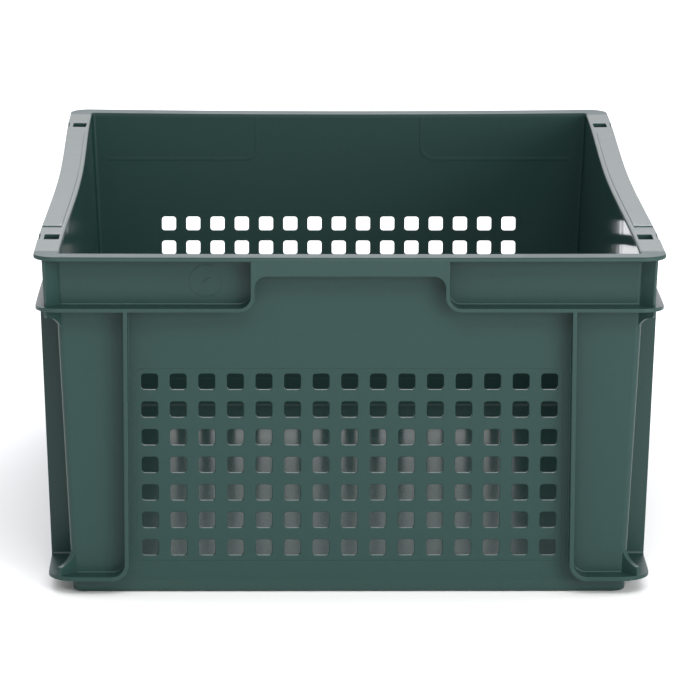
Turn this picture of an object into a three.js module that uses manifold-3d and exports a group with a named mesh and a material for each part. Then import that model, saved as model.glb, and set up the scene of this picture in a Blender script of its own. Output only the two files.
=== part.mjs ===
// Stacking plastic crate: 600 x 400 mm Euro footprint, solid long sides and base, perforated ends.
//
// Frame: millimetres, +Z up, +Y along the length, +X along the width, origin under the middle of
// the base. The crate is one moulding; each wall, rim, flange, rib and web of it is a named solid.
// Solids meet face to face on level or upright planes, and a web keeps CLEARANCE to a sloping wall.

import * as THREE from 'three';
import { mergeGeometries, mergeVertices } from 'three/addons/utils/BufferGeometryUtils.js';
import Module from 'manifold-3d';

const wasm = await Module();
wasm.setup();

// Overall size
const WIDTH = 400;
const LENGTH = 600;
const RIM_TOP = 221;
const CLEARANCE = 0.3;

// Walls: outer faces just under the rim, thickness, and inward lean per millimetre of height
const WALL = 3;
const SIDE_FACE = 187;
const END_FACE = 287;
const SIDE_DRAFT = 0.0465;
const END_DRAFT = 0.025;
const BOW = 3.5;                       // the long sides draw in this much at mid-length, at the top
const CORNER_RADIUS = 4;
const END_WALL_HALF = 172.5;           // an end wall stops here and a corner takes over
const SIDE_WALL_HALF = 277;

// Base: a plate that slips inside the rim of the crate below
const BASE_THICK = 3;                  // its lower edge is rounded by as much

// Rim: a level plate round the mouth, with a raised pad and two slots on each long side
const RIM_THICK = 2.5;
const RIM_WIDTH = 16;
const RIM_CORNER_RADIUS = 16;
const RIM_UNDER = RIM_TOP - RIM_THICK;
const PAD_RISE = 0.75;
const PAD_HALF_LENGTH = 190;
const PAD_INNER_MARGIN = 3;
const PAD_OUTER_MARGIN = 0.5;
const SLOT = { centreX: 191.25, centreY: 226, width: 9.5, length: 18 };
const NOTCH = { depth: 1.2, drop: 1.25, centreY: 226, length: 18 };
const COLLAR = { wall: 2, drop: 5, margin: 0.4 };   // stands down round each slot

// Perforation of the ends
const HOLE = 10.5;
const PITCH = 18.16;
const COLUMNS = 15;
const ROWS = 7;
const LOWEST_HOLE_Z = 29.6;

// Shoulder flange below the rim, and the hand-hold between its two halves on each end
const SHOULDER = { low: 186.25, high: 188.75, halfWidth: 199, halfLength: 300, radius: 15 };
const GRIP = { half: 60.25, band: 2.5, lipBottom: 209.25, lipThick: 2.5, cornerRadius: 7.5 };
const BAND_BEND = 7.5;                 // inner radius of the bend from a band into the flange
const FEATHER_ANGLE = Math.PI / 12;    // where the lip's corner curve stops, short of a thin edge

// Base flange round the lower corners and along the long sides
const LOWER = { low: 10.25, high: 13, halfWidth: 192.5, halfLength: 294.5, radius: 20 };

// Upright ribs between the two flanges
const END_RIB = { inner: 140.5, thick: 2.75, bend: 8.5 };
const SIDE_RIB_THICK = 2.5;
const SIDE_RIB_Y = [-231.75, -77.25, 77.25, 231.75];

// Webs that run out from each wall corner at 45 degrees
const POCKET_WEB = { thick: 2.5, reach: 11.25 };
const UPPER_GUSSET = { thick: 2.5, reach: 12, tip: 4, rise: 13, hollow: 0.85 };
const LOWER_GUSSET = { thick: 3.5, reach: 12.75, tip: 5, rise: 16, hollow: 0.7 };
const WEB_FEATHER = 0.3;               // reach left at the wall end of a gusset's hollow edge

// How finely curves are stepped
const BOW_STEPS = 16;                  // along a long side
const ARC_STEPS = 6;                   // round a rim corner or a bend
const SMALL_ARC_STEPS = 4;             // round a corner or an edge of a few millimetres
const SPARE = 1;                       // how far a cutting box runs past what it cuts

const GREEN = { color: 0x2f4f4b, roughness: 0.35, metalness: 0 };
const GREEN_RIM = { color: 0x33544f, roughness: 0.3, metalness: 0 };
const GREEN_RIB = { color: 0x345a54, roughness: 0.38, metalness: 0 };

const mix = (a, b, t) => a + (b - a) * t;

// ---- Where the drafted faces are ------------------------------------------------------------

const sideFace = (z) => SIDE_FACE - SIDE_DRAFT * (RIM_UNDER - z);
const endFace = (z) => END_FACE - END_DRAFT * (RIM_UNDER - z);

// How far a point of a long side is drawn in
function bow(y, z) {
  const along = Math.min(1, Math.abs(y) / SIDE_WALL_HALF);
  const ease = along * along * (3 - 2 * along);
  return BOW * (1 - ease) * Math.max(0, z - BASE_THICK) / (RIM_UNDER - BASE_THICK);
}

// Outer edge of the ribs, straight from the base flange to the shoulder flange
function ribEdge(z, atLower, atShoulder) {
  const t = (z - LOWER.high) / (SHOULDER.low - LOWER.high);
  return mix(atLower, atShoulder, Math.min(1, Math.max(0, t)));
}

// ---- Geometry helpers -----------------------------------------------------------------------

function reshape(geometry, place) {
  const position = geometry.attributes.position;
  const point = new THREE.Vector3();
  for (let i = 0; i < position.count; i += 1) {
    point.fromBufferAttribute(position, i);
    position.setXYZ(i, ...place(point.x, point.y, point.z));
  }
  return geometry;
}

// A box cut into steps along its length, each corner placed by a function of 0..1 coordinates
function block(steps, place) {
  const unit = new THREE.BoxGeometry(1, 1, 1, 1, steps, 1);
  return reshape(unit, (x, y, z) => place(x + 0.5, y + 0.5, z + 0.5));
}

function box(x0, x1, y0, y1, z0, z1) {
  return block(1, (u, v, w) => [mix(x0, x1, u), mix(y0, y1, v), mix(z0, z1, w)]);
}

// A level plate from its outline in plan
function levelPlate(shape, low, high) {
  const plate = new THREE.ExtrudeGeometry(shape, { depth: high - low, bevelEnabled: false });
  return plate.translate(0, 0, low);
}

// An upright plate from its outline in X and Z; near(z) and far(z) are its two Y faces
function uprightPlate(shape, near, far) {
  const plate = new THREE.ExtrudeGeometry(shape, { depth: 1, bevelEnabled: false });
  return reshape(plate, (x, z, depth) => [x, mix(far(z), near(z), depth), z]);
}

// A solid through equal rings of points, one ring per level, closed at both ends
function loft(levels, outline) {
  const rings = levels.map(outline);
  const count = rings[0].length;
  const points = rings.flatMap((ring, k) => ring.flatMap((p) => [p.x, p.y, levels[k]]));
  const index = [];
  for (let k = 0; k + 1 < rings.length; k += 1) {
    for (let i = 0; i < count; i += 1) {
      const a = k * count + i;
      const b = k * count + ((i + 1) % count);
      index.push(a, b, b + count, a, b + count, a + count);
    }
  }
  const topStart = (rings.length - 1) * count;
  for (const [a, b, c] of THREE.ShapeUtils.triangulateShape(rings[0], [])) {
    index.push(a, c, b);
    index.push(topStart + a, topStart + b, topStart + c);
  }
  const geometry = new THREE.BufferGeometry();
  geometry.setAttribute('position', new THREE.Float32BufferAttribute(points, 3));
  geometry.setIndex(index);
  return geometry;
}

function arc(cx, cy, radius, from, to, steps) {
  const points = [];
  for (let i = 0; i <= steps; i += 1) {
    const angle = mix(from, to, i / steps);
    points.push(new THREE.Vector2(cx + radius * Math.cos(angle), cy + radius * Math.sin(angle)));
  }
  return points;
}

function outlineOf(corners) {
  const shape = new THREE.Shape();
  shape.setFromPoints(corners.map(([x, y]) => new THREE.Vector2(x, y)));
  return shape;
}

// The mirror image across X = 0, with its faces turned to point out again
function mirrored(geometry) {
  const image = mergeOnPosition(geometry).scale(-1, 1, 1);
  const index = image.index.array;
  for (let i = 0; i < index.length; i += 3) {
    const swap = index[i];
    index[i] = index[i + 1];
    index[i + 1] = swap;
  }
  return image;
}

function mergeOnPosition(geometry) {
  const bare = geometry.clone();
  bare.deleteAttribute('normal');
  bare.deleteAttribute('uv');
  return mergeVertices(bare, 1e-4);
}

function toSolid(geometry) {
  const merged = mergeOnPosition(geometry);
  return new wasm.Manifold(new wasm.Mesh({
    numProp: 3,
    vertProperties: new Float32Array(merged.attributes.position.array),
    triVerts: new Uint32Array(merged.index.array),
  }));
}

function fromSolid(solid) {
  const mesh = solid.getMesh();
  const geometry = new THREE.BufferGeometry();
  geometry.setAttribute('position', new THREE.BufferAttribute(mesh.vertProperties, 3));
  geometry.setIndex(new THREE.BufferAttribute(mesh.triVerts, 1));
  return geometry;
}

function piece(name, geometry, look) {
  const mesh = new THREE.Mesh(geometry, new THREE.MeshStandardMaterial(look));
  mesh.name = name;
  return mesh;
}

// ---- Base -----------------------------------------------------------------------------------

function basePlate() {
  const turn = Math.PI / 2 / SMALL_ARC_STEPS;
  const angles = Array.from({ length: SMALL_ARC_STEPS + 1 }, (_, i) => i * turn);
  const levels = angles.map((angle) => BASE_THICK * (1 - Math.cos(angle)));
  return loft(levels, (z) => {
    const drop = BASE_THICK - z;
    const inset = BASE_THICK - Math.sqrt(BASE_THICK ** 2 - drop ** 2);
    const halfX = sideFace(z) - inset;
    const halfY = endFace(z) - inset;
    const radius = CORNER_RADIUS + inset;
    const centres = [[1, -1], [1, 1], [-1, 1], [-1, -1]];
    return centres.flatMap(([sx, sy], quarter) => {
      const start = (quarter - 1) * Math.PI / 2;
      const cx = sx * (halfX - radius);
      const cy = sy * (halfY - radius);
      return arc(cx, cy, radius, start, start + Math.PI / 2, SMALL_ARC_STEPS);
    });
  });
}

// ---- Walls ----------------------------------------------------------------------------------

function endWall() {
  const holes = [];
  for (let row = 0; row < ROWS; row += 1) {
    for (let column = 0; column < COLUMNS; column += 1) {
      const x = (column - (COLUMNS - 1) / 2) * PITCH;
      const z = LOWEST_HOLE_Z + row * PITCH;
      const punch = new THREE.BoxGeometry(HOLE, WALL + 2 * SPARE, HOLE);
      holes.push(punch.translate(x, WALL / 2, z));
    }
  }
  const sheet = box(-END_WALL_HALF, END_WALL_HALF, 0, WALL, BASE_THICK, RIM_UNDER);
  const punched = fromSolid(toSolid(sheet).subtract(toSolid(mergeGeometries(holes))));
  return reshape(punched, (x, y, z) => [x, y - endFace(z), z]);
}

function sideWall() {
  return block(BOW_STEPS, (u, v, w) => {
    const y = mix(-SIDE_WALL_HALF, SIDE_WALL_HALF, v);
    const z = mix(BASE_THICK, RIM_UNDER, w);
    return [sideFace(z) - mix(WALL, 0, u) - bow(y, z), y, z];
  });
}

// The upright corner between an end wall and a side wall, at the front right
function wallCorner() {
  return loft([BASE_THICK, RIM_UNDER], (z) => {
    const x = sideFace(z);
    const y = endFace(z);
    const r = CORNER_RADIUS;
    return [
      new THREE.Vector2(END_WALL_HALF, -y),
      ...arc(x - r, r - y, r, -Math.PI / 2, 0, SMALL_ARC_STEPS),
      new THREE.Vector2(x, -SIDE_WALL_HALF),
      new THREE.Vector2(x - WALL, -SIDE_WALL_HALF),
      new THREE.Vector2(x - WALL, WALL - y),
      new THREE.Vector2(END_WALL_HALF, WALL - y),
    ];
  });
}

// ---- Rim ------------------------------------------------------------------------------------

function endRim() {
  const x = WIDTH / 2;
  const y = LENGTH / 2;
  const r = RIM_CORNER_RADIUS;
  const shape = new THREE.Shape([
    ...arc(r - x, r - y, r, Math.PI, Math.PI * 1.5, ARC_STEPS),
    ...arc(x - r, r - y, r, -Math.PI / 2, 0, ARC_STEPS),
  ]);
  return levelPlate(shape, RIM_UNDER, RIM_TOP);
}

// A bar along the right-hand side that follows the bow, from one Y to another
function bowedBar(steps, x0, x1, y0, y1, z0, z1) {
  return block(steps, (u, v, w) => {
    const y = mix(y0, y1, v);
    return [mix(x0, x1, u) - bow(y, RIM_UNDER), y, mix(z0, z1, w)];
  });
}

function sideRim() {
  const outer = WIDTH / 2;
  const inner = outer - RIM_WIDTH;
  const reach = LENGTH / 2 - RIM_WIDTH;
  const sunk = RIM_THICK / 2;
  const padIn = inner + PAD_INNER_MARGIN;
  const padOut = outer - PAD_OUTER_MARGIN;
  let solid = toSolid(bowedBar(BOW_STEPS, inner, outer, -reach, reach, RIM_UNDER, RIM_TOP));
  solid = solid.add(toSolid(bowedBar(
    BOW_STEPS, padIn, padOut, -PAD_HALF_LENGTH, PAD_HALF_LENGTH, RIM_TOP - sunk, RIM_TOP + PAD_RISE,
  )));
  for (const end of [-1, 1]) {
    solid = withSlot(solid, end * SLOT.centreY, outer);
    const y = end * NOTCH.centreY;
    const half = NOTCH.length / 2;
    const floor = RIM_TOP - NOTCH.drop;
    solid = solid.subtract(toSolid(bowedBar(
      1, outer - NOTCH.depth, outer + SPARE, y - half, y + half, floor, RIM_TOP + SPARE,
    )));
  }
  return fromSolid(solid);
}

// The rim with a slot through it; a collar stands down round the slot, clear of the wall
function withSlot(solid, y, outer) {
  const half = SLOT.length / 2;
  const slotIn = SLOT.centreX - SLOT.width / 2;
  const slotOut = SLOT.centreX + SLOT.width / 2;
  const collarIn = SIDE_FACE + CLEARANCE;
  const collarOut = outer - COLLAR.margin;
  const reach = half + COLLAR.wall;
  const low = RIM_UNDER - COLLAR.drop;
  const joint = RIM_UNDER + RIM_THICK / 2;
  const collar = bowedBar(2, collarIn, collarOut, y - reach, y + reach, low, joint);
  const hole = bowedBar(2, slotIn, slotOut, y - half, y + half, low - SPARE, RIM_TOP + SPARE);
  return solid.add(toSolid(collar)).subtract(toSolid(hole));
}

// ---- Shoulder flange and hand-hold ----------------------------------------------------------

const shoulderWallY = endFace(SHOULDER.high) + CLEARANCE;
const shoulderWallX = sideFace(SHOULDER.high) + CLEARANCE;
const bandEnd = GRIP.half + GRIP.band + BAND_BEND;

// A strip of flange along an end, with the rounded corner, at the front right
function endFlange(flange, from, wallY) {
  const x = flange.halfWidth;
  const y = flange.halfLength;
  const r = flange.radius;
  const last = Math.asin((y - r - wallY) / r);
  const shape = new THREE.Shape([
    new THREE.Vector2(from, -wallY),
    new THREE.Vector2(from, -y),
    ...arc(x - r, r - y, r, -Math.PI / 2, last, ARC_STEPS),
  ]);
  return levelPlate(shape, flange.low, flange.high);
}

// The strip of flange along the right-hand side, with the rest of each rounded corner
function sideFlange(flange, wallX, wallY) {
  const x = flange.halfWidth;
  const r = flange.radius;
  const straight = flange.halfLength - r;
  const turn = Math.asin((wallY - straight) / r);
  const places = Array.from({ length: BOW_STEPS + 1 }, (_, i) => mix(-1, 1, i / BOW_STEPS));
  const edge = places.slice(1, -1).map((t) => new THREE.Vector2(x, t * straight));
  const foot = places.map((t) => new THREE.Vector2(wallX, -t * wallY));
  const outline = [
    ...arc(x - r, -straight, r, -turn, 0, ARC_STEPS),
    ...edge,
    ...arc(x - r, straight, r, 0, turn, ARC_STEPS),
    ...foot,
  ];
  const drawnIn = outline.map((p) => new THREE.Vector2(p.x - bow(p.y, flange.low), p.y));
  return levelPlate(new THREE.Shape(drawnIn), flange.low, flange.high);
}

// The lip that hangs from the rim's edge over the fingers
function gripLip() {
  const { half, lipBottom, cornerRadius, lipThick } = GRIP;
  const cx = half - cornerRadius;
  const cz = lipBottom - cornerRadius;
  const feather = cz + cornerRadius * Math.sin(FEATHER_ANGLE);
  const shape = new THREE.Shape([
    new THREE.Vector2(-half, RIM_UNDER),
    new THREE.Vector2(-half, feather),
    ...arc(-cx, cz, cornerRadius, Math.PI - FEATHER_ANGLE, Math.PI / 2, ARC_STEPS),
    ...arc(cx, cz, cornerRadius, Math.PI / 2, FEATHER_ANGLE, ARC_STEPS),
    new THREE.Vector2(half, feather),
    new THREE.Vector2(half, RIM_UNDER),
  ]);
  const front = -LENGTH / 2;
  return uprightPlate(shape, () => front, () => front + lipThick);
}

// The upright band beside the hand-hold, which bends out into the shoulder flange
function gripBand() {
  const inner = GRIP.half;
  const outer = inner + GRIP.band;
  const bendZ = SHOULDER.high + BAND_BEND;
  const wide = BAND_BEND + GRIP.band;
  const shape = new THREE.Shape([
    new THREE.Vector2(inner, RIM_UNDER),
    ...arc(bandEnd, bendZ, wide, Math.PI, Math.PI * 1.5, ARC_STEPS),
    ...arc(bandEnd, bendZ, BAND_BEND, Math.PI * 1.5, Math.PI, ARC_STEPS),
    new THREE.Vector2(outer, RIM_UNDER),
  ]);
  return uprightPlate(shape, () => -LENGTH / 2, (z) => -endFace(z) - CLEARANCE);
}

// ---- Base flange and ribs -------------------------------------------------------------------

const lowerWallY = endFace(LOWER.high) + CLEARANCE;
const lowerWallX = sideFace(LOWER.high) + CLEARANCE;
const ribFoot = END_RIB.inner + END_RIB.thick + END_RIB.bend;

// The upright rib beside the perforated field, which bends out into the base flange
function endRib() {
  const { inner, thick, bend } = END_RIB;
  const bendZ = LOWER.high + bend;
  const shape = new THREE.Shape([
    new THREE.Vector2(inner, SHOULDER.low),
    ...arc(ribFoot, bendZ, bend + thick, Math.PI, Math.PI * 1.5, ARC_STEPS),
    ...arc(ribFoot, bendZ, bend, Math.PI * 1.5, Math.PI, ARC_STEPS),
    new THREE.Vector2(inner + thick, SHOULDER.low),
  ]);
  const edge = (z) => -ribEdge(z, LOWER.halfLength, SHOULDER.halfLength);
  return uprightPlate(shape, edge, (z) => -endFace(z) - CLEARANCE);
}

function sideRib(centre) {
  return block(1, (u, v, w) => {
    const y = centre + (v - 0.5) * SIDE_RIB_THICK;
    const z = mix(LOWER.high, SHOULDER.low, w);
    const edge = ribEdge(z, LOWER.halfWidth, SHOULDER.halfWidth);
    return [mix(sideFace(z) + CLEARANCE, edge, u) - bow(centre, z), y, z];
  });
}

// ---- Corner webs ----------------------------------------------------------------------------

// An upright web at the front right corner. Its outline is in reach from the corner and height.
function cornerWeb(name, thick, corners) {
  const heights = corners.map(([, z]) => z);
  const middle = (Math.min(...heights) + Math.max(...heights)) / 2;
  const lean = (SIDE_DRAFT + END_DRAFT) / Math.SQRT2;
  const start = CLEARANCE - CORNER_RADIUS * (Math.SQRT2 - 1);
  const outline = outlineOf(corners);
  const plate = new THREE.ExtrudeGeometry(outline, { depth: thick, bevelEnabled: false });
  reshape(plate, (reach, z, depth) => [
    start + reach + lean * (z - middle),
    thick / 2 - depth,
    z,
  ]);
  plate.rotateZ(-Math.PI / 4);
  plate.translate(sideFace(middle), -endFace(middle), 0);
  return [name, plate];
}

// The free edge of a gusset as reach and height off its flange, from its blunt outer end to the
// wall corner: a quarter ellipse where hollow is 1, a straight slope where it is 0
function gussetEdge({ reach, tip, rise, hollow }) {
  return Array.from({ length: ARC_STEPS + 1 }, (_, i) => {
    const angle = (i / ARC_STEPS) * (Math.PI / 2);
    const inward = Math.sin(angle);
    const height = mix(mix(tip, rise, inward), mix(rise, tip, Math.cos(angle)), hollow);
    return [mix(reach, WEB_FEATHER, inward), height];
  });
}

function cornerWebs() {
  const over = (height) => LOWER.high + height;
  const under = (height) => SHOULDER.low - height;
  const lowerEdge = gussetEdge(LOWER_GUSSET).map(([reach, height]) => [reach, over(height)]);
  const upperEdge = gussetEdge(UPPER_GUSSET).map(([reach, height]) => [reach, under(height)]);
  return [
    cornerWeb('pocket_web', POCKET_WEB.thick, [
      [0, SHOULDER.high],
      [POCKET_WEB.reach, SHOULDER.high],
      [POCKET_WEB.reach, RIM_UNDER],
      [0, RIM_UNDER],
    ]),
    cornerWeb('upper_gusset', UPPER_GUSSET.thick, [
      [0, under(UPPER_GUSSET.rise)],
      ...upperEdge.reverse(),
      [UPPER_GUSSET.reach, SHOULDER.low],
      [0, SHOULDER.low],
    ]),
    cornerWeb('lower_gusset', LOWER_GUSSET.thick, [
      [0, LOWER.high],
      [LOWER_GUSSET.reach, LOWER.high],
      ...lowerEdge,
      [0, over(LOWER_GUSSET.rise)],
    ]),
  ];
}

// ---- Assembly -------------------------------------------------------------------------------

// One end of the crate, made as the front; the rear is the same group turned half round
function endGroup(end) {
  const group = new THREE.Group();
  group.rotation.z = end === 'rear' ? Math.PI : 0;
  group.add(piece(`end_wall_${end}`, endWall(), GREEN));
  group.add(piece(`rim_${end}`, endRim(), GREEN_RIM));
  group.add(piece(`grip_lip_${end}`, gripLip(), GREEN_RIB));
  const handed = [
    ['wall_corner', wallCorner(), GREEN],
    ['grip_band', gripBand(), GREEN_RIB],
    ['shoulder_flange', endFlange(SHOULDER, bandEnd, shoulderWallY), GREEN_RIB],
    ['end_rib', endRib(), GREEN_RIB],
    ['base_flange', endFlange(LOWER, ribFoot, lowerWallY), GREEN_RIB],
    ...cornerWebs().map(([name, geometry]) => [name, geometry, GREEN_RIB]),
  ];
  for (const [name, geometry, look] of handed) {
    const near = end === 'rear' ? 'left' : 'right';
    const far = end === 'rear' ? 'right' : 'left';
    group.add(piece(`${name}_${end}_${near}`, geometry, look));
    group.add(piece(`${name}_${end}_${far}`, mirrored(geometry), look));
  }
  return group;
}

// One long side, made as the right; the left is the same group turned half round
function sideGroup(side) {
  const group = new THREE.Group();
  group.rotation.z = side === 'left' ? Math.PI : 0;
  const shoulder = sideFlange(SHOULDER, shoulderWallX, shoulderWallY);
  const lower = sideFlange(LOWER, lowerWallX, lowerWallY);
  group.add(piece(`side_wall_${side}`, sideWall(), GREEN));
  group.add(piece(`rim_${side}`, sideRim(), GREEN_RIM));
  group.add(piece(`shoulder_flange_${side}`, shoulder, GREEN_RIB));
  group.add(piece(`base_flange_${side}`, lower, GREEN_RIB));
  SIDE_RIB_Y.forEach((y, i) => {
    group.add(piece(`side_rib_${side}_${i + 1}`, sideRib(y), GREEN_RIB));
  });
  return group;
}

const crate = new THREE.Group();
crate.name = 'stacking_crate';
crate.add(piece('base_plate', basePlate(), GREEN));
crate.add(endGroup('front'), endGroup('rear'));
crate.add(sideGroup('left'), sideGroup('right'));

export default crate;
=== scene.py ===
"""Looks of the stacking plastic crate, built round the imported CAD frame. Lengths are in metres."""

from collections import namedtuple
import math

import bmesh
import bpy
from mathutils import Matrix, Vector
from mathutils.geometry import delaunay_2d_cdt


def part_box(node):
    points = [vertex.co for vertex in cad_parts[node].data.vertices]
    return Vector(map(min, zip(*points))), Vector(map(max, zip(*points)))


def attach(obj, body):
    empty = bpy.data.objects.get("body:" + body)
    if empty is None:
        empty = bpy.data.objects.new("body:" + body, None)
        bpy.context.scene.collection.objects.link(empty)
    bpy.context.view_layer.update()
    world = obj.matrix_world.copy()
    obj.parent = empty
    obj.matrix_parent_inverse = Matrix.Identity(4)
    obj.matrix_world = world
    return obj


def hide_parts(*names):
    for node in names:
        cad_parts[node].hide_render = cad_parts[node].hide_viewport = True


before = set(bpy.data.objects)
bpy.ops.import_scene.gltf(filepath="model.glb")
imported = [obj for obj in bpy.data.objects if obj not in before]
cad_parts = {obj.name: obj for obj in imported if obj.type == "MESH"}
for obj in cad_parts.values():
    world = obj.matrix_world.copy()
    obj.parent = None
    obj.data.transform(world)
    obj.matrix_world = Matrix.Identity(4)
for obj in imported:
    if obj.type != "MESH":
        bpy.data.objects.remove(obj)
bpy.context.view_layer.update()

MM = 0.001
QUARTER = math.pi / 2

# ---- Sizes read from the frame ----------------------------------------------------------------


def corners(node):
    """The lowest and the highest corner of a CAD node's box."""
    low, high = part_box(node)
    return Vector(low), Vector(high)


base_high = corners("base_plate")[1]
corner_low, corner_high = corners("wall_corner_front_right")
rim_low, rim_high = corners("rim_front")
side_rim_high = corners("rim_right")[1]
end_wall_high = corners("end_wall_front")[1]
side_wall_high = corners("side_wall_right")[1]
lip_low, lip_high = corners("grip_lip_front")
band_low = corners("grip_band_front_right")[0]
end_rib_low = corners("end_rib_front_right")[0]
shoulder_low, shoulder_high = corners("shoulder_flange_right")
lower_low, lower_high = corners("base_flange_right")

RIM_TOP = rim_high.z
RIM_UNDER = rim_low.z
HALF_WIDTH = rim_high.x
HALF_LENGTH = -rim_low.y
RIM_WIDTH = rim_high.y - rim_low.y
MOUTH_X = HALF_WIDTH - RIM_WIDTH
MOUTH_Y = HALF_LENGTH - RIM_WIDTH
PAD_TOP = side_rim_high.z

WALL_FOOT = base_high.z
WALL_HEIGHT = RIM_UNDER - WALL_FOOT
SIDE_FACE_TOP = corner_high.x
SIDE_FACE_FOOT = base_high.x
END_FACE_TOP = -corner_low.y
END_FACE_FOOT = base_high.y
WALL = SIDE_FACE_TOP - MOUTH_X
END_WALL_HALF = end_wall_high.x
SIDE_WALL_HALF = side_wall_high.y
SHOULDER_END = -corners("shoulder_flange_front_right")[0].y
LOWER_END = -corners("base_flange_front_right")[0].y

# ---- Sizes that no box of the frame gives ------------------------------------------------------

BOW = 3.5 * MM
CORNER_RADIUS = 4 * MM
INNER_CORNER_RADIUS = 2.5 * MM
RIM_CORNER_RADIUS = 16 * MM
SHOULDER_RADIUS = 15 * MM
LOWER_RADIUS = 20 * MM
BAND_BEND = 7.5 * MM
RIB_BEND = 8.5 * MM
LIP_BOTTOM = 209.25 * MM
LIP_CORNER_RADIUS = 7.5 * MM
BAND_THICK = 2.5 * MM
RIB_THICK = 2.75 * MM
WEB_THICK = 2.4 * MM
LOWER_WEB_THICK = 3.6 * MM
RIM_SPLIT = 276 * MM      # where the side rims meet the end rims
SIDE_FLANGE_REACH = SIDE_WALL_HALF - 14 * MM

HOLE = 10.5 * MM
HOLE_RADIUS = 2.1 * MM
PITCH = 18.16 * MM
COLUMNS = 15
ROWS = 7
LOWEST_HOLE = 29.6 * MM

SLOT_X = 191.25 * MM
SLOT_Y = 226 * MM
SLOT_WIDTH = 9.5 * MM
SLOT_LENGTH = 18 * MM
NOTCH_DEPTH = 1.2 * MM
NOTCH_DROP = 1.25 * MM
COLLAR_WALL = 2 * MM
COLLAR_DROP = 5 * MM
COLLAR_MARGIN = 0.4 * MM    # from the collar's outer face to the rim's edge
PAD_REACH = 190 * MM
PAD_INNER_MARGIN = 3 * MM
PAD_OUTER_MARGIN = 0.5 * MM

# ---- Finer sizes of the looks alone -------------------------------------------------------------

EMBED = 0.8 * MM          # how far a web runs into what it grows from
CRISP = 0.35 * MM         # rounding of the free edges of flanges, ribs and webs
FLANGE_FILLET = 1.1 * MM  # hollow corner between a flange and its wall
RIB_FILLET = 0.4 * MM     # hollow corner between an upright rib and its wall
SHARP = 0.1 * MM          # rounding of edges that are out of sight
TRAY_TOP = 8 * MM         # how high the base's own mesh carries the foot of the walls
WALL_TOP = RIM_UNDER + 0.3 * MM
WARP_FRONT = 0.3 * MM     # how far the rim's corners have warped up, at the front and at the rear
WARP_REAR = 1.2 * MM
DISH = 0.4 * MM           # how far the rim's top rises to the outer edge of each end

ENDS = {"front": 1, "rear": -1}
SIDES = {"left": -1, "right": 1}


def mix(a, b, t):
    return a + (b - a) * t


def clamp(t):
    return min(1.0, max(0.0, t))


def side_face(z):
    return mix(SIDE_FACE_FOOT, SIDE_FACE_TOP, (z - WALL_FOOT) / WALL_HEIGHT)


def end_face(z):
    return mix(END_FACE_FOOT, END_FACE_TOP, (z - WALL_FOOT) / WALL_HEIGHT)


def bow(y, z):
    """How far a long side is drawn in at a point."""
    along = clamp(abs(y) / SIDE_WALL_HALF)
    return BOW * (1 - along * along * (3 - 2 * along)) * clamp((z - WALL_FOOT) / WALL_HEIGHT)


def warped(point):
    """Where the moulding's warp puts a point: above the shoulder, the four corners stand up."""
    up = clamp((point.z - shoulder_high.z) / (RIM_UNDER - shoulder_high.z))
    most = mix(WARP_FRONT, WARP_REAR, (point.y + HALF_LENGTH) / (2 * HALF_LENGTH))
    return Vector((point.x, point.y, point.z + most * up * (point.x / MOUTH_X) ** 2))


# ---- Mesh helpers -----------------------------------------------------------------------------


def arc(cx, cy, radius, start, end, steps):
    """Points of an arc in plan, its angles in quarter turns."""
    angles = [QUARTER * mix(start, end, i / steps) for i in range(steps + 1)]
    return [(cx + radius * math.cos(a), cy + radius * math.sin(a)) for a in angles]


def line(start, end, steps):
    """Points between two plan points, both left out."""
    return [
        (mix(start[0], end[0], i / steps), mix(start[1], end[1], i / steps))
        for i in range(1, steps)
    ]


def rounded_rectangle(x0, x1, y0, y1, radius, steps=5):
    return (
        arc(x1 - radius, y0 + radius, radius, -1, 0, steps)
        + arc(x1 - radius, y1 - radius, radius, 0, 1, steps)
        + arc(x0 + radius, y1 - radius, radius, 1, 2, steps)
        + arc(x0 + radius, y0 + radius, radius, 2, 3, steps)
    )


def signed_area(points):
    pairs = zip(points, points[1:] + points[:1])
    return sum(x0 * y1 - x1 * y0 for (x0, y0), (x1, y1) in pairs) / 2


def inset(points, distances):
    """The outline moved in by each point's distance, with mitred corners."""
    moved = []
    count = len(points)
    sharpest = 0.3    # keeps a mitre from running far out
    for i, point in enumerate(points):
        p = Vector(point)
        before = (p - Vector(points[i - 1])).normalized()
        after = (Vector(points[(i + 1) % count]) - p).normalized()
        normal = Vector((-before.y - after.y, before.x + after.x)).normalized()
        reach = distances[i] / max(sharpest, normal.dot(Vector((-before.y, before.x))))
        moved.append(tuple(p + normal * reach))
    return moved


def edge_rings(points, low, high, below, above, steps):
    """Rings of (plan points, heights) up an edge that is rounded below and above."""
    rings = []
    for i in range(steps + 1):
        a = QUARTER * i / steps
        shift, rise = 1 - math.sin(a), 1 - math.cos(a)
        rings.append((inset(points, [r * shift for r in below]), [low + r * rise for r in below]))
    for i in range(steps + 1):
        a = QUARTER * (1 - i / steps)
        shift, drop = 1 - math.sin(a), 1 - math.cos(a)
        rings.append((inset(points, [r * shift for r in above]), [high - r * drop for r in above]))
    return rings


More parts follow.
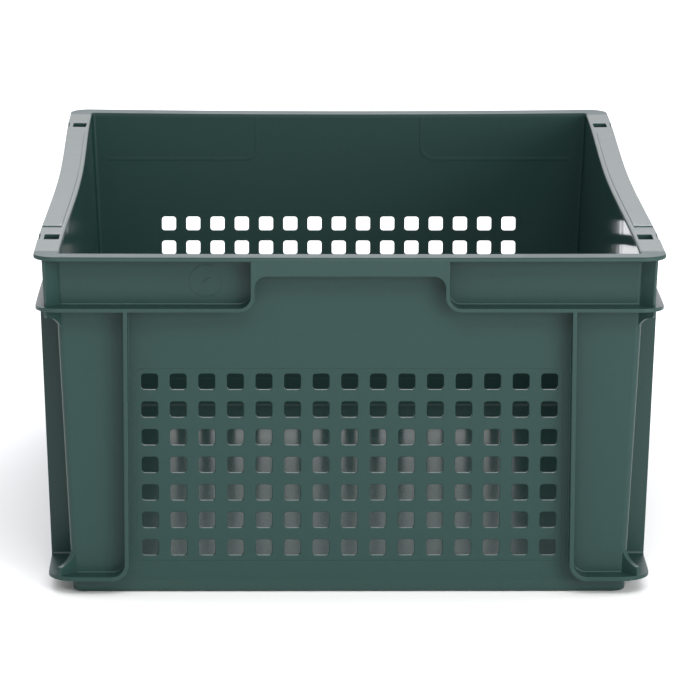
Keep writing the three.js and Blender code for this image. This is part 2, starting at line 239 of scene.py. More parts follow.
def plate(loops, low, high, place, steps=3):
    """A plate from loops of (outline, lower edge radius, upper edge radius), the outer one first.

    place(x, y, h) puts each point, with h from low to high. A radius may be a list, with one
    radius for each point.
    """
    bm = bmesh.new()
    bottom, top = [], []
    for number, (outline, below, above) in enumerate(loops):
        points = list(outline)
        below, above = (
            list(radii) if isinstance(radii, list) else [radii] * len(points)
            for radii in (below, above)
        )
        if (signed_area(points) > 0) != (number == 0):
            points.reverse()
            below.reverse()
            above.reverse()
        rings = []
        for plan, heights in edge_rings(points, low, high, below, above, steps):
            verts = [bm.verts.new(place(x, y, h)) for (x, y), h in zip(plan, heights)]
            rings.append((plan, verts))
        for (_, a), (_, b) in zip(rings, rings[1:]):
            join_rings(bm, a, b)
        bottom.append(rings[0])
        top.append(rings[-1])
    cap(bm, bottom, flip=True)
    cap(bm, top, flip=False)
    return bm


def join_rings(bm, a, b):
    """A band of faces between two rings with as many points each."""
    for i in range(len(a)):
        j = (i + 1) % len(a)
        bm.faces.new((a[i], a[j], b[j], b[i]))


def cap(bm, rings, flip):
    """Closes a plate's flat face between its outer ring and the rings of its holes."""
    flat = [Vector(p) for points, _ in rings for p in points]
    verts = [v for _, ring in rings for v in ring]
    edges = []
    start = 0
    for points, _ in rings:
        count = len(points)
        edges += [(start + i, start + (i + 1) % count) for i in range(count)]
        start += count
    triangles = delaunay_2d_cdt(flat, edges, [], 0, 1e-9)[2]
    for triangle in triangles:
        middle = sum((flat[i] for i in triangle), Vector((0, 0))) / 3
        if inside(middle, rings[0][0]) and not in_a_hole(middle, rings[1:]):
            order = triangle[::-1] if flip else triangle
            bm.faces.new([verts[i] for i in order])


def inside(point, outline):
    """Whether a point is inside an outline, by counting crossings."""
    x, y = point
    found = False
    for (x0, y0), (x1, y1) in zip(outline, outline[1:] + outline[:1]):
        if (y0 > y) != (y1 > y) and x < (x1 - x0) * (y - y0) / (y1 - y0) + x0:
            found = not found
    return found


def in_a_hole(point, rings):
    """Whether a point is in one of the outlines. Where they are many, far ones aren't tried."""
    for outline, _ in rings:
        near = abs(point.x - outline[0][0]) < 1.2 * PITCH or len(rings) < COLUMNS
        if near and inside(point, outline):
            return True
    return False


def cut(bm, point, normal):
    """Cuts off what lies beyond a plane and closes the cut."""
    geometry = bm.verts[:] + bm.edges[:] + bm.faces[:]
    bmesh.ops.bisect_plane(
        bm, geom=geometry, plane_co=point, plane_no=normal, clear_outer=True, dist=1e-7
    )
    open_edges = [e for e in bm.edges if e.is_boundary]
    bmesh.ops.holes_fill(bm, edges=open_edges, sides=0)
    return bm


def sheets(rows):
    """A solid from rings of points, each ring closed, with the first and last ring capped."""
    bm = bmesh.new()
    rings = [[bm.verts.new(p) for p in row] for row in rows]
    for a, b in zip(rings, rings[1:]):
        join_rings(bm, a, b)
    bm.faces.new(rings[0][::-1])
    bm.faces.new(rings[-1])
    return bm


def merge(bm, other):
    """Adds another mesh to this one."""
    mesh = bpy.data.meshes.new("merged")
    other.to_mesh(mesh)
    other.free()
    bm.from_mesh(mesh)
    bpy.data.meshes.remove(mesh)
    return bm


def mirror(bm, x=1, y=1):
    """The mirror image, or the half turn, of a mesh about the crate's middle."""
    bmesh.ops.scale(bm, vec=Vector((x, y, 1)), verts=bm.verts)
    return bm


def finish_mesh(bm):
    """Joins doubled points, splits large faces, turns all faces outward and warps the mesh."""
    bmesh.ops.remove_doubles(bm, verts=bm.verts, dist=1e-6)
    bmesh.ops.triangulate(bm, faces=[f for f in bm.faces if len(f.verts) > 4])
    bmesh.ops.recalc_face_normals(bm, faces=bm.faces)
    for vert in bm.verts:
        vert.co = warped(vert.co)


def shell_look(face):
    """Which of the shell's looks a face has: outside, inside along a side, or inside elsewhere."""
    x, y, z = face.calc_center_median()
    middle_x = side_face(z) - bow(y, z) - WALL / 2
    middle_y = end_face(z) - WALL / 2
    if abs(x) > middle_x or abs(y) > middle_y or not WALL_FOOT / 2 < z < RIM_UNDER:
        return 0
    return 1 if abs(face.normal.x) > 0.7 else 2


def add_piece(name, bm, nodes, looks):
    """Puts a mesh in the scene as one piece of the crate that stands for some CAD nodes.

    looks holds its one material, or the shell's three.
    """
    finish_mesh(bm)
    if len(looks) > 1:
        for face in bm.faces:
            face.material_index = shell_look(face)
    mesh = bpy.data.meshes.new(name)
    bm.to_mesh(mesh)
    bm.free()
    for look in looks:
        mesh.materials.append(look)
    mesh.polygons.foreach_set("use_smooth", [True] * len(mesh.polygons))
    mesh.set_sharp_from_angle(angle=math.radians(35))
    piece = bpy.data.objects.new(name, mesh)
    bpy.context.scene.collection.objects.link(piece)
    weighted = piece.modifiers.new("weighted_normals", "WEIGHTED_NORMAL")
    weighted.keep_sharp = True
    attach(piece, "root")
    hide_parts(*nodes)


# ---- Materials --------------------------------------------------------------------------------


MOTTLE_SCALE = 420    # noise scales, per metre of the crate
GLOSS_SCALE = 60
WAVE_SCALE = 28
GRAIN_SCALE = 1400


def plastic(name, colour, roughness, specular, grain, wave):
    """Moulded polypropylene: slightly uneven in colour and gloss, grained and gently wavy.

    grain and wave are how high the fine grain and the broad waves stand, in millimetres.
    """
    material = bpy.data.materials.new(name)
    material.use_nodes = True
    nodes = material.node_tree.nodes
    links = material.node_tree.links
    shader = nodes["Principled BSDF"]
    place = nodes.new("ShaderNodeTexCoord")

    def noise(scale, detail):
        node = nodes.new("ShaderNodeTexNoise")
        node.inputs["Scale"].default_value = scale
        node.inputs["Detail"].default_value = detail
        links.new(place.outputs["Object"], node.inputs["Vector"])
        return node.outputs["Fac"]

    tint = nodes.new("ShaderNodeValToRGB")
    for element, position, strength in zip(tint.color_ramp.elements, (0.3, 0.7), (0.97, 1.03)):
        element.position = position
        element.color = (*[c * strength for c in colour], 1)
    links.new(noise(MOTTLE_SCALE, 3), tint.inputs["Fac"])
    links.new(tint.outputs["Color"], shader.inputs["Base Color"])

    gloss = nodes.new("ShaderNodeMapRange")
    gloss.inputs["To Min"].default_value = roughness * 0.9
    gloss.inputs["To Max"].default_value = roughness * 1.1
    links.new(noise(GLOSS_SCALE, 3), gloss.inputs["Value"])
    links.new(gloss.outputs["Result"], shader.inputs["Roughness"])

    waves = nodes.new("ShaderNodeBump")
    waves.inputs["Strength"].default_value = 1
    waves.inputs["Distance"].default_value = wave * MM
    links.new(noise(WAVE_SCALE, 1), waves.inputs["Height"])
    grains = nodes.new("ShaderNodeBump")
    grains.inputs["Strength"].default_value = 1
    grains.inputs["Distance"].default_value = grain * MM
    links.new(noise(GRAIN_SCALE, 2), grains.inputs["Height"])
    links.new(waves.outputs["Normal"], grains.inputs["Normal"])
    links.new(grains.outputs["Normal"], shader.inputs["Normal"])

    shader.inputs["IOR"].default_value = 1.49
    shader.inputs["Specular IOR Level"].default_value = specular
    return material


GREEN = (0.0141, 0.0391, 0.0353)
# Painted shade: a darker green for the notch floors, which stands in for the shade down in the notches.
NOTCH_SHADE_GREEN = [0.6 * c for c in GREEN]
outer_look = plastic("outer_plastic", GREEN, roughness=0.36, specular=0.22, grain=0.004, wave=0.01)
inner_look = plastic("inner_plastic", GREEN, roughness=0.07, specular=0.27, grain=0.0004, wave=0.12)
base_look = plastic("base_plastic", GREEN, roughness=0.17, specular=0.3, grain=0.001, wave=0.1)
# The notch floors' look: its darker green is painted shade in the notches, and it is rough and hardly
# glossy.
notch_shade_look = plastic("notch_shade_plastic", NOTCH_SHADE_GREEN, roughness=0.8, specular=0.02, grain=0.004, wave=0.01)
end_rim_look = plastic("end_rim_plastic", GREEN, roughness=0.6, specular=0.3, grain=0.003, wave=0.01)
rim_look = plastic("rim_plastic", GREEN, roughness=0.26, specular=0.5, grain=0.003, wave=0.02)
rib_look = plastic("rib_plastic", GREEN, roughness=0.34, specular=0.28, grain=0.003, wave=0.01)
end_inner_look = plastic("end_inner_plastic", GREEN, roughness=0.3, specular=0.22, grain=0.002, wave=0.03)
foot_look = plastic("foot_plastic", GREEN, roughness=0.42, specular=0.2, grain=0.004, wave=0.01)
SHELL_LOOKS = [outer_look, inner_look, end_inner_look]


# ---- Base and walls ---------------------------------------------------------------------------


def base_tray():
    """The base with the foot of the walls, rounded below and filleted inside."""
    edge = 3 * MM
    hollow = 3.5 * MM
    steps = 6

    def ring(z, out, radius):
        x = side_face(max(z, WALL_FOOT)) - out
        y = end_face(max(z, WALL_FOOT)) - out
        return [(px, py, z) for px, py in rounded_rectangle(-x, x, -y, y, radius, 8)]

    rings = []
    for i in range(steps + 1):
        a = QUARTER * i / steps
        shift = edge * (1 - math.sin(a))
        rings.append(ring(edge * (1 - math.cos(a)), shift, CORNER_RADIUS + shift))
    rings.append(ring(TRAY_TOP, 0, CORNER_RADIUS))
    rings.append(ring(TRAY_TOP, WALL, INNER_CORNER_RADIUS))
    for i in range(steps + 1):
        a = QUARTER * i / steps
        shift = hollow * (1 - math.cos(a))
        height = WALL_FOOT + hollow * (1 - math.sin(a))
        rings.append(ring(height, WALL + shift, INNER_CORNER_RADIUS + shift / 2))
    return sheets(rings)


def perforation():
    """Outlines of the square holes, with rounded corners, in X and Z."""
    holes = []
    for row in range(ROWS):
        for column in range(COLUMNS):
            x = (column - (COLUMNS - 1) / 2) * PITCH
            z = LOWEST_HOLE + row * PITCH
            h = HOLE / 2
            holes.append(rounded_rectangle(x - h, x + h, z - h, z + h, HOLE_RADIUS, 4))
    return holes


def end_wall(sign):
    """An end wall: a plain frame, and in it the perforated field, a step thinner."""
    margin = 3.4 * MM
    step = 0.3 * MM
    edge = 0.3 * MM
    hole_edge = 0.6 * MM
    field_x = (COLUMNS - 1) / 2 * PITCH + HOLE / 2 + margin
    field_low = LOWEST_HOLE - HOLE / 2 - margin
    field_high = LOWEST_HOLE + (ROWS - 1) * PITCH + HOLE / 2 + margin
    spare = 4 * MM    # cut off again, with the sheet's rounded edge
    wide = END_WALL_HALF + spare

    def place(x, z, h):
        return Vector((x, -(end_face(z) - h), z))

    sheet = [(-wide, TRAY_TOP - spare), (wide, TRAY_TOP - spare), (wide, WALL_TOP)]
    sheet += line((wide, WALL_TOP), (-wide, WALL_TOP), 16) + [(-wide, WALL_TOP)]
    window = rounded_rectangle(-field_x, field_x, field_low, field_high, 4 * MM, 5)
    bm = plate([(sheet, SHARP, SHARP), (window, edge, edge)], 0, WALL, place, 2)
    cut(bm, (END_WALL_HALF, 0, 0), (1, 0, 0))
    cut(bm, (-END_WALL_HALF, 0, 0), (-1, 0, 0))
    cut(bm, (0, 0, TRAY_TOP), (0, 0, -1))

    overlap = 0.5 * MM
    field = rounded_rectangle(
        -field_x - overlap, field_x + overlap, field_low - overlap, field_high + overlap,
        4.5 * MM, 5,
    )
    loops = [(field, edge, edge)] + [(hole, hole_edge, edge) for hole in perforation()]
    panel = plate(loops, step, WALL - step / 2, place, 3)
    return mirror(merge(bm, panel), sign, sign)


def sink_marks(sign_x, sign_y):
    """The faint line on the inside of an end wall, opposite its band and shoulder flange."""
    half_width = 1.4 * MM
    rise = 0.3 * MM
    hidden, soft = 0.05 * MM, 0.25 * MM
    x = band_low.x + BAND_THICK / 2
    z = (shoulder_low.z + shoulder_high.z) / 2
    bend = 9 * MM
    far = MOUTH_X - 12 * MM

    def side_of(d):
        """One edge of the line, which comes down from the rim and turns out to the corner."""
        turn = arc(x + bend, z + bend, bend + d, 2, 3, 10)
        return [(x - d, RIM_UNDER)] + turn + [(far, z - d)]

    def place(px, pz, h):
        return Vector((px, end_face(pz) - WALL - h, pz))

    outline = side_of(half_width) + side_of(-half_width)[::-1]
    bm = plate([(outline, hidden, soft)], -rise, rise, place, 2)
    return mirror(bm, sign_x, sign_y)


def side_wall(sign):
    """A long side, bowed in, as a stack of rings from the base tray up into the rim."""
    steps = 28
    levels = 12
    rows = []
    for k in range(levels + 1):
        z = mix(TRAY_TOP, WALL_TOP, k / levels)
        ys = [mix(-SIDE_WALL_HALF, SIDE_WALL_HALF, i / steps) for i in range(steps + 1)]
        outer = [(side_face(z) - bow(y, z), y, z) for y in ys]
        inner = [(x - WALL, y, z) for x, y, z in reversed(outer)]
        rows.append(outer + inner)
    return mirror(sheets(rows), sign, sign)


def wall_corner(sign_x, sign_y):
    """The rounded upright corner, made at the rear right."""
    rows = []
    for z in (TRAY_TOP, shoulder_high.z, WALL_TOP):
        x = side_face(z)
        y = end_face(z)
        outer = arc(x - CORNER_RADIUS, y - CORNER_RADIUS, CORNER_RADIUS, 0, 1, 8)
        r = INNER_CORNER_RADIUS
        inner = arc(x - WALL - r, y - WALL - r, r, 1, 0, 6)
        ring = [(x, SIDE_WALL_HALF)] + outer + [(END_WALL_HALF, y), (END_WALL_HALF, y - WALL)]
        ring += inner + [(x - WALL, SIDE_WALL_HALF)]
        rows.append([(px, py, z) for px, py in ring])
    return mirror(sheets(rows), sign_x, sign_y)


# ---- Rim --------------------------------------------------------------------------------------


def bowed(points):
    """Plan points of the right-hand side, drawn in with the side."""
    return [(x - bow(y, RIM_UNDER), y) for x, y in points]


def all_round(half):
    """A closed outline from its right-hand half, which the half turn repeats."""
    return half + [(-x, -y) for x, y in half]


def rim_outline():
    """The rim's outer edge, with a notch beside each slot, and its lower and upper edge radii."""
    r = RIM_CORNER_RADIUS
    low = SLOT_Y - SLOT_LENGTH / 2
    high = SLOT_Y + SLOT_LENGTH / 2
    deep = HALF_WIDTH - NOTCH_DEPTH
    end_soft = 1.9 * MM
    side_soft = 0.5 * MM
    under = 0.7 * MM
    firm = 0.3 * MM
    lead = 0.5 * MM
    turns = 12
    notch = [
        (HALF_WIDTH, low - 2 * lead), (HALF_WIDTH, low), (deep, low + lead),
        (deep, high - lead), (HALF_WIDTH, high), (HALF_WIDTH, high + 2 * lead),
    ]
    front_notch = [(x, -y) for x, y in reversed(notch)]
    middle = line((HALF_WIDTH, lead - low), (HALF_WIDTH, low - lead), 36)
    end = line((HALF_WIDTH - r, HALF_LENGTH), (r - HALF_WIDTH, HALF_LENGTH), 16)
    corner = arc(HALF_WIDTH - r, HALF_LENGTH - r, r, 0, 1, turns)
    front_corner = [(x, -y) for x, y in reversed(corner)]
    outline = front_corner + bowed(front_notch + middle + notch) + corner + end

    turn = [mix(side_soft, end_soft, (i / turns) ** 2) for i in range(turns + 1)]
    beside = [firm] * len(notch)
    plain = [side_soft] * len(middle)
    above = turn[::-1] + beside + plain + beside + turn + [end_soft] * len(end)
    turn = [under] * len(corner)
    below = turn + beside + plain + beside + turn + [under] * len(end)
    return all_round(outline), below * 2, above * 2


def mouth_outline():
    """The edge of the mouth and its upper radii: soft along the sides, firm along the ends."""
    r = INNER_CORNER_RADIUS
    clear = 3 * r
    x, y = MOUTH_X, MOUTH_Y
    side_soft = 1.5 * MM
    end_soft = 0.6 * MM
    turns = 5
    side = bowed([(x, clear - y)] + line((x, clear - y), (x, y - clear), 40) + [(x, y - clear)])
    corner = arc(x - r, y - r, r, 0, 1, turns)
    front = [(px, -py) for px, py in reversed(corner)]
    end = line((x - r, y), (r - x, y), 16)
    turn = [mix(side_soft, end_soft, i / turns) for i in range(turns + 1)]
    radii = turn[::-1] + [side_soft] * len(side) + turn + [end_soft] * len(end)
    return all_round(front + side + corner + end), radii * 2


def slot_outlines():
    """The four strap slots in plan, which follow the bow of the sides."""
    corner = 1.2 * MM
    slots = []
    for sx in (-1, 1):
        for sy in (-1, 1):
            x = sx * (SLOT_X - bow(SLOT_Y, RIM_UNDER))
            y = sy * SLOT_Y
            w = SLOT_WIDTH / 2
            h = SLOT_LENGTH / 2
            slots.append(rounded_rectangle(x - w, x + w, y - h, y + h, corner, 4))
    return slots


def level(x, y, h):
    """A point of a plate that lies level."""
    return Vector((x, y, h))


def dished(x, y, h):
    """A point of the rim, its top a little higher towards the outer edge of an end."""
    out = clamp((abs(y) - MOUTH_Y) / RIM_WIDTH)
    up = clamp((h - RIM_UNDER) / (RIM_TOP - RIM_UNDER))
    return Vector((x, y, h + DISH * out * up))


def rim_part(cuts):
    """The rim plate, less what lies beyond each of the cuts."""
    mouth, mouth_above = mouth_outline()
    slot_edge = 0.4 * MM
    loops = [rim_outline(), (mouth, SHARP, mouth_above)]
    loops += [(slot, SHARP, slot_edge) for slot in slot_outlines()]
    bm = plate(loops, RIM_UNDER, RIM_TOP, dished, 4)
    for point, normal in cuts:
        cut(bm, point, normal)
    return bm


def slot_collar(y, sign_x):
    """A collar of three walls that stands down round a slot, against the side wall."""
    inner = SIDE_FACE_TOP - WALL / 2
    hair = 0.05 * MM
    slot_out = SLOT_X + SLOT_WIDTH / 2 + hair
    outer = HALF_WIDTH - COLLAR_MARGIN
    near = SLOT_LENGTH / 2
    far = near + COLLAR_WALL
    shape = [
        (inner, -far), (outer, -far), (outer, far), (inner, far),
        (inner, near), (slot_out, near), (slot_out, -near), (inner, -near),
    ]
    shift = bow(y, RIM_UNDER)
    outline = [(x - shift, y + along) for x, along in shape]
    low, high = RIM_UNDER - COLLAR_DROP, RIM_UNDER + 0.5 * MM
    bm = plate([(outline, CRISP, hair)], low, high, level, 2)
    return mirror(bm, sign_x, 1)


def notch_shade_floors():
    """The floors of the four notches, let into the rim's edge: darker green than the rim, painted shade
    in the notches.
    """
    reach = SLOT_LENGTH / 2 + 0.3 * MM
    inner = HALF_WIDTH - 2 * NOTCH_DEPTH
    outer = HALF_WIDTH - 0.02 * MM    # a hair inside the rim's edge
    low = RIM_UNDER + 0.1 * MM
    high = RIM_TOP - NOTCH_DROP
    bm = bmesh.new()
    for sx in SIDES.values():
        for y in (-SLOT_Y, SLOT_Y):
            near, far = y - reach, y + reach
            outline = [(inner, near), (outer, near), (outer, far), (inner, far)]
            block = plate([(bowed(outline), SHARP, SHARP)], low, high, level, 2)
            merge(bm, mirror(block, sx, 1))
    return bm


def rim_pad(sign):
    """The raised pad along the middle of a side rim."""
    inner = MOUTH_X + PAD_INNER_MARGIN
    outer = HALF_WIDTH - PAD_OUTER_MARGIN
    outline = [(outer, -PAD_REACH)] + line((outer, -PAD_REACH), (outer, PAD_REACH), 30)
    outline += [(outer, PAD_REACH), (inner, PAD_REACH)]
    outline += line((inner, PAD_REACH), (inner, -PAD_REACH), 30) + [(inner, -PAD_REACH)]
    edge = 0.6 * MM
    bm = plate([(bowed(outline), SHARP, edge)], RIM_TOP - edge, PAD_TOP, level, 3)
    return mirror(bm, sign, sign)


# ---- Ribbons: flanges, bands and ribs that stand on the walls ---------------------------------

Station = namedtuple("Station", "foot edge across thick fillet")


def ribbon(stations):
    """A web swept along stations: its foot on the wall, its free edge, and its thickness there."""
    steps = 4
    rows = []
    for foot, edge, across, thick, fillet in stations:
        half = thick / 2
        near = [(foot, -EMBED, half + fillet)]
        for i in range(steps + 1):
            a = QUARTER * i / steps
            near.append((foot, fillet * (1 - math.cos(a)), half + fillet * (1 - math.sin(a))))
        for i in range(steps + 1):
            a = QUARTER * i / steps
            near.append((edge, CRISP * (math.sin(a) - 1), half - CRISP * (1 - math.cos(a))))
        profile = near + [(start, d, -n) for start, d, n in reversed(near)]
        out = (edge - foot).normalized()
        rows.append([start + out * d + across * n for start, d, n in profile])
    return sheets(rows)


def turned(stations, x, y):
    """Stations mirrored about the crate's middle planes."""

    def flip(v):
        return Vector((v.x * x, v.y * y, v.z))

    return [s._replace(foot=flip(s.foot), edge=flip(s.edge), across=flip(s.across)) for s in stations]


def rib_edge(z, at_lower, at_shoulder):
    """How far out a rib's free edge is, which leans from the lower flange to the shoulder."""
    t = (z - lower_high.z) / (shoulder_low.z - lower_high.z)
    return mix(at_lower, at_shoulder, clamp(t))


class Ring:
    """A level flange round the crate with the two upright ends that it bends into."""

    def __init__(self, low, high, end, radius, bend, upright_x, upright_z, upright_thick, lean):
        self.z = (low.z + high.z) / 2
        self.thick = high.z - low.z
        self.x = high.x
        self.y = end
        self.radius = radius
        self.upright_thick = upright_thick
        self.bend = bend + upright_thick / 2
        self.upright_x = upright_x + upright_thick / 2
        self.upright_z = upright_z
        self.lean = lean

    def on_end(self, x, z, across, thick, fillet):
        """A station on the front wall."""
        edge_y = rib_edge(z, self.y, HALF_LENGTH) if self.lean else self.y
        foot = Vector((x, -end_face(z), z))
        return Station(foot, Vector((x, -edge_y, z)), across, thick, fillet)

    def upright(self):
        """From the top of the upright, down, and round the bend to the level flange."""
        stations = []
        turn_z = self.z + self.bend
        thick = self.upright_thick
        straight_steps = 9
        for i in range(straight_steps):
            z = mix(self.upright_z, turn_z, i / straight_steps)
            stations.append(self.on_end(self.upright_x, z, Vector((1, 0, 0)), thick, RIB_FILLET))
        cx = self.upright_x + self.bend
        steps = 14
        for i in range(steps + 1):
            t = i / steps
            a = QUARTER * (2 + t)
            x = cx + self.bend * math.cos(a)
            z = turn_z + self.bend * math.sin(a)
            across = Vector((-math.cos(a), 0, -math.sin(a)))
            fillet = mix(RIB_FILLET, FLANGE_FILLET, t)
            stations.append(self.on_end(x, z, across, mix(thick, self.thick, t), fillet))
        return stations

    def level(self):
        """From the bend along the end and round the corner."""
        up = Vector((0, 0, 1))
        z = self.z
        r = self.radius
        x0 = self.upright_x + self.bend
        x1 = min(self.x - r, side_face(z) - CORNER_RADIUS)
        steps = 5
        stations = [
            self.on_end(mix(x0, x1, i / steps), z, up, self.thick, FLANGE_FILLET)
            for i in range(steps)
        ]
        turns = 16
        for i in range(turns + 1):
            a = QUARTER * (i / turns - 1)
            cos, sin = math.cos(a), math.sin(a)
            foot_x = side_face(z) + CORNER_RADIUS * (cos - 1)
            foot_y = -end_face(z) + CORNER_RADIUS * (sin + 1)
            edge = Vector((self.x + r * (cos - 1), -self.y + r * (sin + 1), z))
            foot = Vector((foot_x, foot_y, z))
            stations.append(Station(foot, edge, up, self.thick, FLANGE_FILLET))
        stations.append(self.on_side(-SIDE_FLANGE_REACH))
        return stations

    def on_side(self, y):
        """A station on the right-hand wall."""
        shift = bow(y, self.z)
        foot = Vector((side_face(self.z) - shift, y, self.z))
        edge = Vector((self.x - shift, y, self.z))
        return Station(foot, edge, Vector((0, 0, 1)), self.thick, FLANGE_FILLET)

    def side(self):
        """The level flange along the right-hand wall."""
        steps = 30
        ends = -SIDE_FLANGE_REACH, SIDE_FLANGE_REACH
        return [self.on_side(mix(*ends, i / steps)) for i in range(steps + 1)]


shoulder = Ring(
    shoulder_low, shoulder_high, SHOULDER_END, SHOULDER_RADIUS, BAND_BEND,
    band_low.x, RIM_UNDER + EMBED, BAND_THICK, lean=False,
)
lower = Ring(
    lower_low, lower_high, LOWER_END, LOWER_RADIUS, RIB_BEND,
    end_rib_low.x, shoulder_low.z + EMBED, RIB_THICK, lean=True,
)


def add_rings():
    """The shoulder and the base flange, with the bands and end ribs that they bend into."""
    for end, sy in ENDS.items():
        for side, sx in SIDES.items():
            for name, stations, look in (
                ("grip_band", shoulder.upright(), rib_look),
                ("shoulder_flange", shoulder.level(), rib_look),
                ("end_rib", lower.upright(), rib_look),
                ("base_flange", lower.level(), foot_look),
            ):
                node = f"{name}_{end}_{side}"
                bm = ribbon(turned(stations, sx, sy))
                add_piece(f"{node}_skin", bm, [node], [look])
    for side, sx in SIDES.items():
        for name, ring, look in (
            ("shoulder_flange", shoulder, rib_look),
            ("base_flange", lower, foot_look),
        ):
            node = f"{name}_{side}"
            bm = ribbon(turned(ring.side(), sx, 1))
            add_piece(f"{node}_skin", bm, [node], [look])


def side_rib_stations(y, thick, sx):
    """From the base flange, where the rib's foot is flared, up to the shoulder flange."""
    flare = 2 * MM
    flare_steps, steps = 5, 12
    start = lower_high.z
    top = shoulder_low.z + EMBED
    heights = [start - EMBED]
    for i in range(flare_steps + 1):
        heights.append(start + flare * (1 - math.cos(QUARTER * i / flare_steps)))
    heights += [mix(start + flare, top, i / steps) for i in range(1, steps + 1)]
    stations = []
    for z in heights:
        shift = bow(y, z)
        below = clamp(1 - (z - start) / flare)
        spread = flare * (1 - math.sqrt(1 - below * below))
        foot = Vector((sx * (side_face(z) - shift), y, z))
        edge = Vector((sx * (rib_edge(z, lower_high.x, shoulder_high.x) - shift), y, z))
        stations.append(Station(foot, edge, Vector((0, 1, 0)), thick + 2 * spread, RIB_FILLET))
    return stations


def add_side_ribs():
    """The upright ribs of the long sides, between the two flanges."""
    for side, sx in SIDES.items():
        for number in range(1, 5):
            node = f"side_rib_{side}_{number}"
            low, high = corners(node)
            bm = ribbon(side_rib_stations((low.y + high.y) / 2, high.y - low.y, sx))
            add_piece(f"{node}_skin", bm, [node], [rib_look])


# ---- Corner webs ------------------------------------------------------------------------------


WEB_ROOT = -1.5 * MM      # where a web starts, inside its corner


def gusset_outline(base, up, reach, blunt, height, tip, hollow):
    """A gusset in reach and height: blunt and rounded at its outer end, and hollow up to the wall.

    hollow is 1 for a quarter ellipse and 0 for a straight slope.
    """
    feather = -0.3 * MM
    steps = 12
    low = blunt - tip
    points = [(WEB_ROOT, -EMBED), (reach, -EMBED)]
    points += arc(reach - tip, low, tip, 0, 1, 5)
    for i in range(1, steps + 1):
        a = QUARTER * i / steps
        r = mix(reach - tip, feather, math.sin(a))
        straight = mix(blunt, height, math.sin(a))
        points.append((r, mix(straight, mix(height, blunt, math.cos(a)), hollow)))
    points.append((WEB_ROOT, height))
    return [(r, base + up * h) for r, h in points]


def web_outlines():
    """Each corner web's outline, thickness and look."""
    reach = 11.2 * MM
    low, high = shoulder_high.z - EMBED, RIM_UNDER + EMBED / 2
    pocket = [(WEB_ROOT, low), (reach, low), (reach, high), (WEB_ROOT, high)]
    upper = gusset_outline(
        shoulder_low.z, -1,
        reach=12 * MM, blunt=4.7 * MM, height=13.5 * MM, tip=1.7 * MM, hollow=0.85,
    )
    lower_web = gusset_outline(
        lower_high.z, 1,
        reach=12.8 * MM, blunt=5.5 * MM, height=15.8 * MM, tip=2.1 * MM, hollow=0.7,
    )
    return {
        "pocket_web": (pocket, WEB_THICK, rib_look),
        "upper_gusset": (upper, WEB_THICK, rib_look),
        "lower_gusset": (lower_web, LOWER_WEB_THICK, foot_look),
    }


def corner_web(outline, thick, sx, sy):
    """A web that runs out at 45 degrees from an upright corner."""
    out = Vector((sx, -sy, 0)).normalized()
    across = Vector((sx, sy, 0)).normalized()
    bite = CORNER_RADIUS * (1 - math.sqrt(0.5))

    def place(reach, z, h):
        start = Vector((sx * (side_face(z) - bite), -sy * (end_face(z) - bite), z))
        return start + out * reach + across * h

    return plate([(outline, CRISP, CRISP)], -thick / 2, thick / 2, place, 3)


def add_corner_webs():
    for end, sy in ENDS.items():
        for side, sx in SIDES.items():
            for name, (outline, thick, look) in web_outlines().items():
                node = f"{name}_{end}_{side}"
                bm = corner_web(outline, thick, sx, sy)
                add_piece(f"{node}_skin", bm, [node], [look])


# ---- Hand-hold and shell ----------------------------------------------------------------------


def grip_lip(sign):
    """The lip over the fingers, with a hollow lower corner at each end."""
    inner = band_low.x
    outer = inner + 0.9 * MM
    top = RIM_UNDER + 0.5 * MM
    set_back = 0.06 * MM
    r = LIP_CORNER_RADIUS
    right = arc(inner - r, LIP_BOTTOM - r, r, 1, 0, 10)
    low = LIP_BOTTOM - r
    outline = [(outer, low), (outer, top)] + line((outer, top), (-outer, top), 8)
    outline += [(-outer, top), (-outer, low)]
    outline += [(-x, z) for x, z in reversed(right)] + right

    def place(x, z, h):
        return Vector((x, lip_low.y + set_back + h, z))

    bm = plate([(outline, CRISP, CRISP)], 0, lip_high.y - lip_low.y, place, 4)
    return mirror(bm, sign, sign)


def add_ends():
    """The end walls, hand-hold lips, end rims and corners, front and rear."""
    for end, sy in ENDS.items():
        node = f"end_wall_{end}"
        add_piece(f"{node}_skin", end_wall(sy), [node], SHELL_LOOKS)
        node = f"grip_lip_{end}"
        add_piece(f"{node}_skin", grip_lip(sy), [node], [rib_look])
        node = f"rim_{end}"
        bm = rim_part([((0, -sy * RIM_SPLIT, 0), (0, sy, 0))])
        add_piece(f"{node}_skin", bm, [node], [end_rim_look])
        for side, sx in SIDES.items():
            add_piece(f"sink_mark_{end}_{side}", sink_marks(sx, -sy), [], [end_inner_look])
            node = f"wall_corner_{end}_{side}"
            add_piece(f"{node}_skin", wall_corner(sx, -sy), [node], SHELL_LOOKS)


def add_sides():
    """The long sides with their rims, collars, pads and notch floors."""
    for side, sx in SIDES.items():
        node = f"side_wall_{side}"
        add_piece(f"{node}_skin", side_wall(sx), [node], SHELL_LOOKS)
        node = f"rim_{side}"
        bm = rim_part([
            ((0, RIM_SPLIT, 0), (0, 1, 0)),
            ((0, -RIM_SPLIT, 0), (0, -1, 0)),
            ((0, 0, 0), (-sx, 0, 0)),
        ])
        for y in (-SLOT_Y, SLOT_Y):
            merge(bm, slot_collar(y, sx))
        add_piece(f"{node}_skin", bm, [node], [rim_look])
        add_piece(f"rim_pad_{side}", rim_pad(sx), [], [rim_look])
    add_piece("notch_shade_floors", notch_shade_floors(), [], [notch_shade_look])


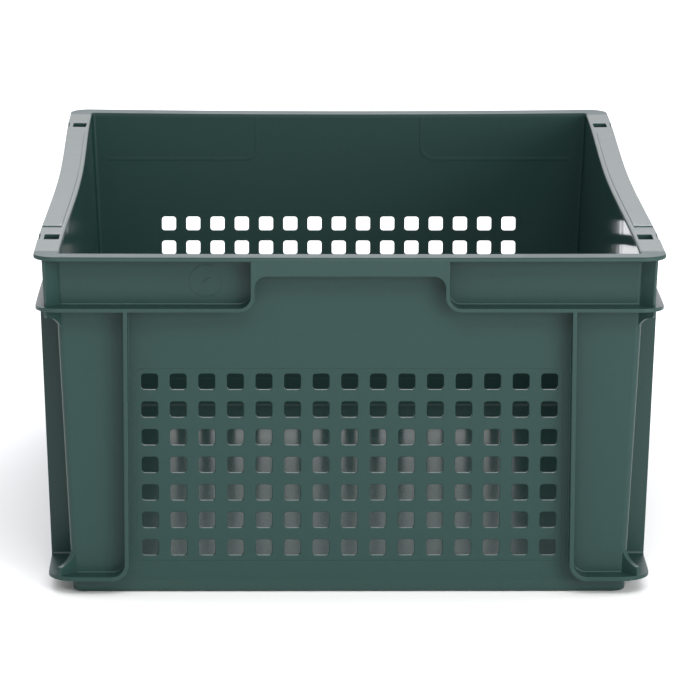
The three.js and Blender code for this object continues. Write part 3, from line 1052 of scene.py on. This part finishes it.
def date_dial():
    """A plain raised ring with a slanted pointer, on the front wall left of the hand-hold."""
    centre = Vector((-90.8 * MM, 0, 204.3 * MM))
    ring, width = 10.6 * MM, 0.7 * MM
    half_length, half_width, corner = 2.9 * MM, 0.7 * MM, 0.5 * MM
    tilt = math.radians(32)
    sunk = 0.5 * MM
    ring_rise, bar_rise = 0.22 * MM, 0.6 * MM
    hidden, edge = 0.02 * MM, 0.15 * MM

    def disc(radius):
        return arc(0, 0, radius, 0, 4, 64)[:-1]

    def place(x, z, h):
        at = centre + Vector((x, 0, z))
        return Vector((at.x, -end_face(at.z) - h, at.z))

    def slanted(x, z, h):
        along, up = math.cos(tilt), math.sin(tilt)
        return place(x * along - z * up, x * up + z * along, h)

    bar = rounded_rectangle(-half_length, half_length, -half_width, half_width, corner, 3)
    loops = [(disc(ring), hidden, edge), (disc(ring - width), hidden, edge)]
    bm = plate(loops, -sunk, ring_rise, place, 2)
    return merge(bm, plate([(bar, hidden, edge)], -sunk, bar_rise, slanted, 2))


# ---- Stage ------------------------------------------------------------------------------------


def add_stage():
    """A plain white floor under the crate."""
    bm = bmesh.new()
    bmesh.ops.create_grid(bm, x_segments=1, y_segments=1, size=12)
    mesh = bpy.data.meshes.new("floor")
    bm.to_mesh(mesh)
    bm.free()
    floor = bpy.data.objects.new("floor", mesh)
    bpy.context.scene.collection.objects.link(floor)
    material = bpy.data.materials.new("floor_white")
    material.use_nodes = True
    shader = material.node_tree.nodes["Principled BSDF"]
    shader.inputs["Base Color"].default_value = (0.93, 0.93, 0.93, 1)
    shader.inputs["Roughness"].default_value = 0.9
    shader.inputs["Specular IOR Level"].default_value = 0.1
    mesh.materials.append(material)


def add_light(name, size, energy, place, tint=(1, 1, 1)):
    """A soft rectangular light that faces the crate."""
    aim = Vector((0, 0, 0.1))
    data = bpy.data.lights.new(name, "AREA")
    data.color = tint
    data.shape = "RECTANGLE"
    data.size, data.size_y = size
    data.energy = energy
    light = bpy.data.objects.new(name, data)
    light.location = place
    direction = aim - Vector(place)
    light.rotation_euler = direction.to_track_quat("-Z", "Y").to_euler()
    bpy.context.scene.collection.objects.link(light)


def add_world(strength):
    """Even white light from all round."""
    world = bpy.data.worlds.new("studio")
    world.use_nodes = True
    background = world.node_tree.nodes["Background"]
    background.inputs["Color"].default_value = (1, 1, 1, 1)
    background.inputs["Strength"].default_value = strength
    bpy.context.scene.world = world


def add_camera():
    """A long lens in front of the crate, a little left of its middle, looking down at it."""
    data = bpy.data.cameras.new("camera")
    data.sensor_width = 36
    data.lens = 250.37
    data.clip_end = 100
    camera = bpy.data.objects.new("camera", data)
    camera.location = (-0.045276, -3.307781, 0.784753)
    yaw = Matrix.Rotation(math.radians(-0.861), 4, "Z")
    pitch = Matrix.Rotation(math.radians(90 - 11.69), 4, "X")
    roll = Matrix.Rotation(math.radians(0.174), 4, "Z")
    camera.rotation_euler = (yaw @ pitch @ roll).to_euler()
    bpy.context.scene.collection.objects.link(camera)
    bpy.context.scene.camera = camera


bpy.context.scene.view_settings.view_transform = "Standard"
add_camera()
add_world(0.9)
add_stage()
add_light("key_soft", size=(1.6, 1.2), energy=80, place=(1.9, -2.8, 0.9))
add_light("front_soft", size=(2.4, 1.0), energy=58, place=(0.2, -2.6, 2.6))
add_light("back_soft", size=(3.0, 1.0), energy=96, place=(0, 3.0, 2.2), tint=(0.98, 0.97, 1.06))
add_piece("base_tray", base_tray(), ["base_plate"], [base_look])
add_ends()
add_sides()
add_rings()
add_side_ribs()
add_corner_webs()
add_piece("date_dial", date_dial(), [], [outer_look])
